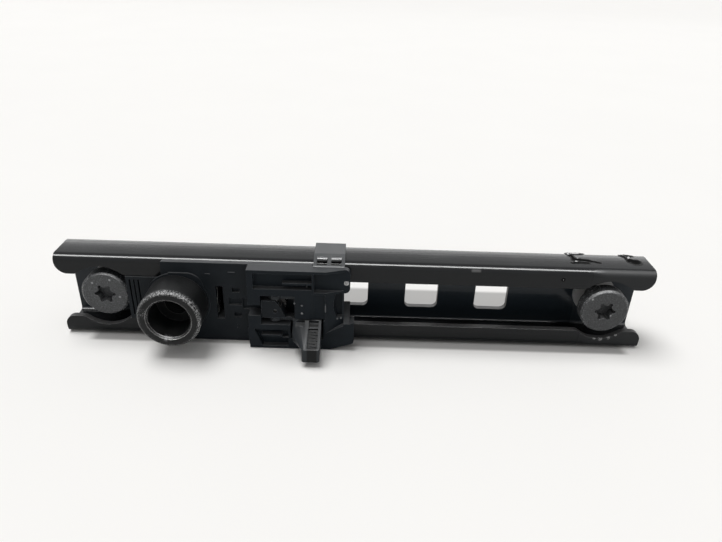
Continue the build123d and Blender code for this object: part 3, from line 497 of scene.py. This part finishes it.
# Nodes that aren't named here are black plastic
finishes = {
    "rail": coat,
    "carrier_plate": carrier,
    "anchor_bolt_left": left_bolt,
    "anchor_bolt_right": right_bolt,
    "d_ring_boss": boss_steel,
    "bolt_retainer_left": pale_plastic,
    "bolt_retainer_right": pale_plastic,
    "top_glide_bars": bar_plastic,
    "top_guide_clip": clip_plastic,
    "release_lever": lever_plastic,
    "mechanism_housing": housing_plastic,
    "bolt_yoke": yoke_plastic,
    "locking_bolt": oiled_steel,
    "link_pin": oiled_steel,
    "lever_pivot_pin": oiled_steel,
    "locking_spring": spring_steel,
    "anti_rattle_spring": spring_steel,
}
for name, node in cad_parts.items():
    node.data.materials.clear()
    node.data.materials.append(finishes.get(name, plastic))


def mesh_from(name, points, faces):
    """A mesh from points in millimetres, with its faces turned to agree."""
    mesh = bpy.data.meshes.new(name)
    mesh.from_pydata([tuple(Vector(p) * MM) for p in points], [], faces)
    work = bmesh.new()
    work.from_mesh(mesh)
    bmesh.ops.recalc_face_normals(work, faces=work.faces)
    work.to_mesh(mesh)
    work.free()
    return mesh


def linked(name, data):
    made = bpy.data.objects.new(name, data)
    scene.collection.objects.link(made)
    return made


def piece(name, points, faces, material, body, smooth=True):
    mesh = mesh_from(name, points, faces)
    for polygon in mesh.polygons:
        polygon.use_smooth = smooth
    mesh.materials.append(material)
    made = linked(name, mesh)
    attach(made, body)
    return made


def grid_faces(rows, columns, closed):
    """Quads that join rows of points, where each row is a closed ring or an open line."""
    faces = []
    for row in range(rows - 1):
        for i in range(columns if closed else columns - 1):
            a, b = row * columns + i, row * columns + (i + 1) % columns
            faces.append((a, b, b + columns, a + columns))
    return faces


def pad(name, x, z, width, height, face, rise, material):
    """A low moulded pad with round ends, standing on a face of the slider that looks along -Y."""
    corner = min(width, height) / 2 * 0.95
    rings = ((1.0, -0.05), (1.0, rise * 0.55), (0.86, rise * 0.9), (0.62, rise))
    quarter_steps = 6
    points = []
    for share, up in rings:
        inset = (1 - share) * min(width, height) / 2
        radius = max(corner - inset, 0.01)
        for side_x, side_z, start in ((1, 1, 0), (-1, 1, 90), (-1, -1, 180), (1, -1, 270)):
            for step in range(quarter_steps + 1):
                angle = math.radians(start + 90 * step / quarter_steps)
                across = side_x * (width / 2 - corner) + math.cos(angle) * radius
                above = side_z * (height / 2 - corner) + math.sin(angle) * radius
                points.append((x + across, face - up, z + above))
    count = 4 * (quarter_steps + 1)
    faces = grid_faces(len(rings), count, closed=True)
    faces.append(tuple(range((len(rings) - 1) * count, len(rings) * count)))
    return piece(name, points, faces, material, "slider")


# Raised details: name, x, z, width, height, the face they stand on, rise, material
pads = (
    ("plate_dash_left", -60.2, 13.3, 2.3, 0.7, plate_face, 0.35, plastic),
    ("plate_dash_right", -50.4, 14.3, 3.2, 0.7, plate_face, 0.35, plastic),
    ("plate_dot_upper", -49.2, -10.7, 0.8, 0.8, plate_face, 0.3, plastic),
    ("plate_dot_lower", -49.3, -12.3, 0.8, 0.8, plate_face, 0.3, plastic),
    ("housing_pip_top", -19.7, 10.4, 0.8, 0.8, pocket_face, 0.7, painted_glint_plastic),
    ("housing_pip_left_upper", -24.6, 4.8, 0.6, 0.6, housing_face, 0.3, plastic),
    ("housing_pip_left_lower", -24.6, 3.7, 0.8, 0.8, housing_face, 0.3, painted_glint_plastic),
    ("housing_pip_column_upper", -21.6, 2.8, 0.9, 0.7, housing_face, 0.4, painted_glint_plastic),
    ("housing_pip_column_lower", -21.6, -1.0, 1.1, 0.9, housing_face, 0.4, painted_glint_plastic),
    ("housing_pip_pocket_left", -7.2, -4.0, 0.8, 0.7, pocket_wall_near, 0.35, painted_glint_plastic),
    ("housing_pip_pocket_right", -5.7, -4.0, 0.8, 0.7, pocket_wall_far, 0.35, painted_glint_plastic),
    ("housing_rib_upright", -12.0, 1.8, 0.5, 3.2, rib_face, 0.3, painted_glint_plastic),
    ("housing_pocket_rib", -28.6, -13.8, 3.0, 0.7, pocket_face, 1.6, plastic),
)
for row in pads:
    pad(*row)


def slot_leaf():
    """Leg of the leaf spring that shows in the front plate's slot, bowed three times."""
    left, front, half_height, bow_depth = -57.55, -18.6, 6.2, 0.35
    section = ((0, 0), (0.35, 0.1), (0.35, 3.2), (0, 3.2))
    steps = 16
    points = []
    for step in range(steps + 1):
        share = step / steps
        bow = bow_depth * math.sin(math.pi * 3 * share)
        for across, behind in section:
            points.append((left + bow * 0.4 + across, front + bow + behind,
                           half_height - 2 * half_height * share))
    count = len(section)
    faces = grid_faces(steps + 1, count, closed=True)
    faces += [tuple(range(count)), tuple(range(steps * count, (steps + 1) * count))]
    piece("slot_leaf", points, faces, oiled_steel, "slider")


slot_leaf()


# Prisms and cuts for the release lever
def prism(outline, place, low, high):
    """A closed prism: outline points (u, v) at heights low and high, put in space by place."""
    count = len(outline)
    points = [place(u, v, w) for w in (low, high) for u, v in outline]
    faces = [tuple(range(count)), tuple(range(count, 2 * count))]
    faces += grid_faces(2, count, closed=True)
    return linked("prism", mesh_from("prism", points, faces))


def settle(made):
    """Applies the modifiers of a piece by taking its evaluated mesh."""
    bpy.context.view_layer.update()
    shaped = made.evaluated_get(bpy.context.evaluated_depsgraph_get())
    shaped = bpy.data.meshes.new_from_object(shaped)
    made.modifiers.clear()
    made.data = shaped


def combine(made, tool, operation):
    modifier = made.modifiers.new("cut", "BOOLEAN")
    modifier.operation = operation
    modifier.solver = "EXACT"
    modifier.object = tool
    settle(made)
    bpy.data.objects.remove(tool)


def cut_beyond(work, point, normal):
    """Clears what lies beyond the plane, and returns the open edges there."""
    everything = work.verts[:] + work.edges[:] + work.faces[:]
    cut = bmesh.ops.bisect_plane(work, geom=everything, clear_outer=True,
                                 plane_co=Vector(point) * MM, plane_no=normal)
    return [e for e in cut["geom_cut"] if isinstance(e, bmesh.types.BMEdge)]


def bisected(made, point, normal):
    """Cuts off what lies beyond the plane and closes the cut."""
    work = bmesh.new()
    work.from_mesh(made.data)
    bmesh.ops.contextual_create(work, geom=cut_beyond(work, point, normal))
    bmesh.ops.recalc_face_normals(work, faces=work.faces)
    work.to_mesh(made.data)
    work.free()


def rounded_outline(corners, steps=5):
    """An outline whose corners (x, y, radius) are turned into arcs."""
    outline = []
    for i, (x, y, radius) in enumerate(corners):
        if radius <= 0:
            outline.append((x, y))
            continue
        here = Vector((x, y))
        before = (Vector(corners[i - 1][:2]) - here).normalized()
        after = (Vector(corners[(i + 1) % len(corners)][:2]) - here).normalized()
        half = before.angle(after) / 2
        run = radius / math.tan(half)
        start, end = here + before * run, here + after * run
        centre = here + (before + after).normalized() * (radius / math.sin(half))
        for step in range(steps + 1):
            ray = (start - centre).lerp(end - centre, step / steps)
            outline.append(tuple(centre + ray.normalized() * radius))
    return outline


# Tongue: a block that runs to the tip and a flange on its left, each drawn from above and cut
# to the same side profile
shoulder_y, block_left = -28.0, -20.7
tip_top, tip_bottom = -10.4, -16.3
tip_corner, shoulder_corner = 0.9, 1.2
fall = (tongue_top - tip_top) / (tongue_back - tongue_tip)


def side_profile():
    outline = [(tongue_back + 0.1, tongue_top + 0.1), (tongue_back, tongue_top),
               (tongue_tip - 0.1, tip_top), (tongue_tip - 0.1, tip_bottom),
               (tongue_back + 0.1, tongue_bottom)]
    return prism(outline, lambda u, v, w: (w, u, v), tongue_left - 1, tongue_right + 1)


def plan(outline):
    return prism(rounded_outline(outline), lambda u, v, w: (u, v, w), tip_bottom - 1, tongue_top)


tongue = plan([(tongue_right, tongue_back, 0), (block_left - 0.3, tongue_back, 0),
               (block_left - 0.3, tongue_tip, tip_corner), (tongue_right, tongue_tip, tip_corner)])
combine(tongue, side_profile(), "INTERSECT")
flange = plan([(block_left + 1, tongue_back, 0), (tongue_left, tongue_back, 0),
               (tongue_left, shoulder_y, shoulder_corner),
               (block_left, tongue_tip + 0.2, 0), (block_left + 1, tongue_tip + 0.2, 0)])
combine(flange, side_profile(), "INTERSECT")

# Sloping underside of the flange, through three places
under_left = Vector((tongue_left, shoulder_y, -12.9))
under_tip = Vector((block_left, tongue_tip, tip_top))
under_root = Vector((block_left, -26, -14))
under_normal = (under_tip - under_left).cross(under_root - under_left)
bisected(flange, under_left, -under_normal if under_normal.z > 0 else under_normal)
combine(tongue, flange, "UNION")

# Cheek that falls away to the left of the ridge
cheek_angle = math.radians(38)
ridge_root_x, ridge_root_y, ridge_tip_x = -22.6, -26.2, -19.9
ridge_root = Vector((ridge_root_x, ridge_root_y, tongue_top - fall * (tongue_back - ridge_root_y)))
ridge = (Vector((ridge_tip_x, tongue_tip, tip_top)) - ridge_root).normalized()
top_normal = Vector((0, -fall, 1)).normalized()
cheek_normal = Matrix.Rotation(-cheek_angle, 3, ridge) @ top_normal
if cheek_normal.x > 0:
    cheek_normal = Matrix.Rotation(cheek_angle, 3, ridge) @ top_normal
bisected(tongue, ridge_root, cheek_normal)

# Places on the sloping top: across, down the slope and up from it
slope = Vector((0, -1, -fall)).normalized()
top_start = Vector((0, tongue_back, tongue_top))


def on_top(u, v, w):
    return top_start + Vector((u, 0, 0)) + slope * v + top_normal * w


def hollow(left, right, start, end, depth, corner=0.3):
    """Sinks a rounded hollow into the sloping top."""
    outline = rounded_outline([(left, start, corner), (right, start, corner),
                               (right, end, corner), (left, end, corner)], 3)
    combine(tongue, prism(outline, on_top, -depth, 1), "DIFFERENCE")


# The trough, and the two pockets at the tongue's root
hollow(trough_left, trough_right, start=4.6, end=13.7, depth=1.1)
hollow(-24.2, -20.4, start=0.7, end=3.3, depth=1.6)
hollow(trough_left + 0.2, trough_right, start=0.7, end=3.6, depth=1.6)

# Rounded edges
edge_rounding, round_from, sharp_from = 0.16, math.radians(32), math.radians(28)
rounding = tongue.modifiers.new("rounding", "BEVEL")
rounding.width = edge_rounding * MM
rounding.segments = 2
rounding.limit_method = "ANGLE"
rounding.angle_limit = round_from
settle(tongue)

# The lever: hub and ears from the frame, up to just inside the tongue, and then the tongue
overlap, weld_distance = 0.05, 0.001
lever_work = bmesh.new()
lever_work.from_mesh(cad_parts["release_lever"].data)
bmesh.ops.remove_doubles(lever_work, verts=lever_work.verts, dist=weld_distance * MM)
rims = cut_beyond(lever_work, (0, tongue_back - overlap, 0), (0, -1, 0))
bmesh.ops.holes_fill(lever_work, edges=rims)
lever_work.from_mesh(tongue.data)
bpy.data.objects.remove(tongue)


def add_bar(outline, low, high):
    bar = prism(outline, on_top, low, high)
    lever_work.from_mesh(bar.data)
    bpy.data.objects.remove(bar)


# Grip ribs in the trough, which shift to either side in turn, and a dash at each pocket
rib_count, rib_start, rib_pitch, rib_shift, rib_inset = 6, 5.2, 1.4, 0.35, 0.7
rib_width, rib_slant = 0.5, 0.25
dash_width = 0.4
for k in range(rib_count):
    start = rib_start + k * rib_pitch
    shift = rib_shift if k % 2 else -rib_shift
    left_x, right_x = trough_left + rib_inset + shift, trough_right - rib_inset + shift
    add_bar([(left_x, start), (right_x, start + rib_slant),
             (right_x, start + rib_slant + rib_width), (left_x, start + rib_width)],
            low=-1.2, high=-0.55)
for left_x, right_x, start in ((-22.9, -21.0, 3.45),
                               (trough_left + 0.7, trough_right - 0.4, 3.75)):
    end = start + dash_width
    add_bar([(left_x, start), (right_x, start), (right_x, end), (left_x, end)],
            low=-0.3, high=0.14)
lever_mesh = bpy.data.meshes.new("release_lever_moulding")
lever_work.to_mesh(lever_mesh)
lever_work.free()
for polygon in lever_mesh.polygons:
    polygon.use_smooth = True
    polygon.material_index = 0
lever_mesh.set_sharp_from_angle(angle=sharp_from)
lever_mesh.materials.clear()
lever_mesh.materials.append(lever_plastic)
lever_piece = linked("release_lever_moulding", lever_mesh)
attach(lever_piece, "lever")
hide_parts("release_lever")


# Screw threads: pitch, half a ridge's width as a share of it, and how deep its feet are sunk
thread_pitch, thread_flank, thread_root = 1.25, 0.42, 0.06
boss_thread_radius, boss_thread_depth = 4.95, 0.5
boss_thread_ends = (-21.8, -9.6)
shank_radius, shank_thread_height = 5.0, 0.16
shank_thread_length, shank_point = 10, 3


def thread(name, axis_x, radius, rise, start_y, end_y, material, body, slot):
    """A ridge of triangular section wound along Y. A negative rise winds it in a bore."""
    steps = 40
    total = int((end_y - start_y) / thread_pitch * steps)
    root = radius - math.copysign(thread_root, rise)
    points = []
    for step in range(total + 1):
        angle = 2 * math.pi * step / steps
        y = start_y + thread_pitch * step / steps
        crest = radius + rise * min(1, step / steps, (total - step) / steps)
        for offset, reach in ((-thread_flank, root), (0, crest), (thread_flank, root)):
            points.append((axis_x + reach * math.cos(angle), y + offset * thread_pitch,
                           reach * math.sin(angle)))
    faces = grid_faces(total + 1, 3, closed=False)
    piece(name, points, faces, material, body, smooth=False)


thread("boss_thread", boss_x, boss_thread_radius, -boss_thread_depth, *boss_thread_ends,
       boss_steel, "slider", "boss_steel")
for side, axis_x, high, material in (("left", left_bolt_x, left_high, left_bolt),
                                     ("right", right_bolt_x, right_high, right_bolt)):
    end_y = high.y - shank_point
    thread(f"{side}_bolt_thread", axis_x, shank_radius, shank_thread_height,
           end_y - shank_thread_length, end_y, material, f"{side}_bolt", "bolt_steel")


def set_tone(made, tones):
    """Keeps the tone of each point, which the torn coat's material reads."""
    layer = made.data.attributes.new("rise", "FLOAT", "POINT")
    for k, tone in enumerate(tones):
        layer.data[k].value = tone


# Damage on the top wall: a thin scab of torn coat whose height and tone follow scars, each
# ((x, y, half width), (x, y, half width)), and burrs, each ((x, y), length, width, rise)
patch_step = 0.16
rim_place, rim_width, rim_rise = 1.15, 0.28, 0.10
burr_full, grain_rise = 0.3, 0.04


def torn_at(x, y, scars, burrs):
    """How far inside a scar a place is, about 1 on its line, and how high rim or burr stand."""
    here = Vector((x, y))
    wander = 0.35 * noise.noise(Vector((x * 0.9, y * 0.9, 7.0)))
    wander += 0.18 * noise.noise(Vector((x * 2.6, y * 2.6, 1.0)))
    scar, rise = 0.0, 0.0
    for (ax, ay, a_half), (bx, by, b_half) in scars:
        start, end = Vector((ax, ay)), Vector((bx, by))
        run = end - start
        along = max(0, min(1, (here - start).dot(run) / run.length_squared))
        half = a_half + (b_half - a_half) * along
        away = (here - start.lerp(end, along)).length + wander
        scar = max(scar, 1 - away / half)
        rim = math.exp(-(((away - half * rim_place) / rim_width) ** 2))
        rise = max(rise, rim_rise * rim)
    for (bx, by), length, width, burr_rise in burrs:
        reach = ((x - bx) / length) ** 2 + ((y - by) / width) ** 2 + wander
        rise = max(rise, burr_rise * math.exp(-max(0, reach)))
    return scar, rise


def torn_patch(name, low, high, scars, burrs):
    columns = int((high[0] - low[0]) / patch_step) + 1
    rows = int((high[1] - low[1]) / patch_step) + 1
    points, tones, inside = [], [], []
    for j in range(rows):
        for i in range(columns):
            x, y = low[0] + i * patch_step, low[1] + j * patch_step
            scar, rise = torn_at(x, y, scars, burrs)
            grain = grain_rise * noise.noise(Vector((x * 5, y * 5, 2.0)))
            height = rise * (1 - max(0, min(1, scar * 1.6))) + max(0, grain) * (scar > 0)
            points.append((x, y, rail_top + height))
            # A tone below 0 paints a scar dark as shade in its groove, and above 0 paints a burr
            # pale as bare steel and as its highlight
            tones.append(-min(1, scar * 2.2) if scar > 0.05 else min(1, rise / burr_full))
            inside.append(rise > 0.03 or scar > 0)
    faces = [face for face in grid_faces(rows, columns, closed=False)
             if any(inside[corner] for corner in face)]
    used = sorted({corner for face in faces for corner in face})
    place = {corner: k for k, corner in enumerate(used)}
    made = piece(name, [points[corner] for corner in used],
                 [tuple(place[corner] for corner in face) for face in faces],
                 torn, "rail")
    set_tone(made, [tones[corner] for corner in used])


torn_patch("rail_gouge", (87, -13), (104, -1),
           [((91.2, -4.0, 0.6), (91.4, -8.1, 0.75)), ((91.4, -8.1, 0.9), (93.4, -8.4, 1.1)),
            ((93.4, -8.4, 1.0), (97.2, -8.9, 1.0)), ((97.2, -8.9, 0.8), (101.6, -10.5, 0.35)),
            ((89.8, -11.2, 0.3), (96.6, -11.1, 0.45))],
           [((90.6, -3.3), 0.8, 0.7, 0.75), ((93.0, -2.6), 2.6, 0.6, 0.45),
            ((91.8, -10.0), 0.7, 0.5, 0.42), ((93.2, -6.9), 0.9, 0.5, 0.25),
            ((95.0, -10.2), 1.4, 0.4, 0.16)])
torn_patch("rail_dent", (111, -12.5), (121, -1.5),
           [((113.1, -3.2, 0.6), (113.9, -4.6, 0.45)), ((114.8, -2.7, 0.35), (117.4, -3.4, 0.4)),
            ((114.0, -4.6, 0.25), (114.3, -9.3, 0.3)), ((115.5, -7.8, 1.5), (117.0, -8.9, 2.3))],
           [((115.4, -5.6), 0.5, 0.9, 0.7), ((112.4, -3.0), 0.4, 0.5, 0.25),
            ((116.0, -4.0), 0.9, 0.4, 0.2)])


def crater(name, x, z, radius):
    """A small crater in the coat of the lip: rings of (share of radius, rise, tone). The dark
    rings are painted shade in the pit, and the pale middle a painted highlight.
    """
    rings = ((1.9, -0.03, 0.0), (1.4, 0.05, 0.1), (1.05, 0.16, 0.2), (0.75, 0.09, -0.8),
             (0.45, 0.05, -0.8), (0.3, 0.12, 0.9), (0.0, 0.2, 1.0))
    steps = 20
    points, tones = [], []
    for share, up, tone in rings:
        for step in range(steps):
            angle = 2 * math.pi * step / steps
            around = Vector((math.cos(angle) * 2, math.sin(angle) * 2, share))
            reach = radius * share * (1 + 0.12 * noise.noise(around))
            points.append((x + reach * math.cos(angle), rail_face - up,
                           z + reach * math.sin(angle)))
            tones.append(tone)
    faces = grid_faces(len(rings), steps, closed=True)
    set_tone(piece(name, points, faces, torn, "rail"), tones)


crater("lip_crater", 85.0, 14.3, 0.5)

# Floor that the object stands on, with shadow painted behind the rail and in a thin band before
# its foot
floor_size = 12  # metres
shade_behind_y, shade_behind_x = (2, 27.5), (-118, 124)
shade_front_y, shade_front_x = (-22.6, -15), (-111.5, 117)
bpy.ops.mesh.primitive_plane_add(size=floor_size, location=(0, 0, floor_z * MM))
floor = bpy.context.object
floor.name = "floor"
f = Tree("floor_board")
floor_x, floor_y, _ = f.split()
board = f.mix(f.noise(0.01, 2), (0.915, 0.905, 0.885, 1), (0.935, 0.925, 0.905, 1))
# Painted shadow: a thin band before the rail's foot and a broad one behind the rail
painted_shadow_in_front = f.times(f.band(floor_y, *shade_front_y, 1.1), f.band(floor_x, *shade_front_x, 2.5))
behind = f.times(f.band(floor_y, *shade_behind_y, 1.6), f.band(floor_x, *shade_behind_x, 6))
board = f.coats(board, (painted_shadow_in_front, 0.62, (0.05, 0.045, 0.045, 1)), (behind, 0.5, grey(0.02)))
f.set(Base_Color=board, Roughness=0.9, Specular_IOR_Level=0.1)
floor.data.materials.append(f.material)

# Sky: white to camera, gloss and glass, a soft fill for everything else
sky_white, sky_fill = 1.0, 0.355
world = bpy.data.worlds.new("studio")
scene.world = world
world.use_nodes = True
sky = world.node_tree
background = sky.nodes["Background"]
background.inputs["Color"].default_value = (1, 1, 1, 1)
path = sky.nodes.new("ShaderNodeLightPath")
seen = path.outputs["Is Camera Ray"]
for other in ("Is Glossy Ray", "Is Transmission Ray"):
    either = sky.nodes.new("ShaderNodeMath")
    either.operation = "MAXIMUM"
    sky.links.new(seen, either.inputs[0])
    sky.links.new(path.outputs[other], either.inputs[1])
    seen = either.outputs[0]
strength = sky.nodes.new("ShaderNodeMapRange")
sky.links.new(seen, strength.inputs["Value"])
strength.inputs["To Min"].default_value = sky_fill
strength.inputs["To Max"].default_value = sky_white
sky.links.new(strength.outputs["Result"], background.inputs["Strength"])

# Lamps: a broad one overhead, a little from the left and behind, and two strips for gloss
overhead_strength = 0.69
overhead_angle, from_left, from_behind = math.radians(34), math.radians(14), math.radians(7)


def aim(light, direction):
    light.rotation_euler = Vector(direction).to_track_quat("-Z", "Y").to_euler()


def strip(name, elevation, distance, width, depth, radiance):
    """A long lamp along X that only shows in gloss, in metres and degrees. Past 90 is behind."""
    data = bpy.data.lights.new(name, "AREA")
    data.shape = "RECTANGLE"
    data.size = width
    data.size_y = depth
    data.energy = radiance * math.pi * width * depth
    light = linked(name, data)
    angle = math.radians(elevation)
    light.location = (0, -distance * math.cos(angle), distance * math.sin(angle))
    aim(light, -light.location)
    light.visible_diffuse = False
    light.visible_camera = False


overhead_data = bpy.data.lights.new("overhead", "SUN")
overhead_data.energy = overhead_strength * math.pi
overhead_data.angle = overhead_angle
overhead = linked("overhead", overhead_data)
aim(overhead, (math.tan(from_left), -math.tan(from_behind), -1))
overhead.visible_glossy = False
strip("front_strip", elevation=66, distance=1.5, width=2.6, depth=0.45, radiance=40)
strip("back_strip", elevation=165, distance=1.5, width=3.0, depth=0.40, radiance=2.2)

# Camera that matches the photograph, 722 pixels wide
focal_pixels = 618
photo_width = 722
camera_place = Vector((-0.437, -239.602, 134.925))
pitch, yaw, roll = math.radians(28.311), math.radians(0.627), math.radians(2.03)
level = math.cos(pitch)
forward = Vector((math.sin(yaw) * level, math.cos(yaw) * level, -math.sin(pitch)))
right = Vector((math.cos(yaw), -math.sin(yaw), 0))
up = right.cross(forward)
tilted_right = math.cos(roll) * right + math.sin(roll) * up
tilted_up = -math.sin(roll) * right + math.cos(roll) * up
turn = Matrix((tilted_right, tilted_up, -forward)).transposed()
camera_data = bpy.data.cameras.new("camera")
camera_data.sensor_width = 36
camera_data.lens = focal_pixels / photo_width * camera_data.sensor_width
camera_data.clip_start = 0.01
camera_data.clip_end = 50
camera = linked("camera", camera_data)
camera.matrix_world = Matrix.Translation(camera_place * MM) @ turn.to_4x4()
scene.camera = camera
scene.view_settings.view_transform = "Standard"
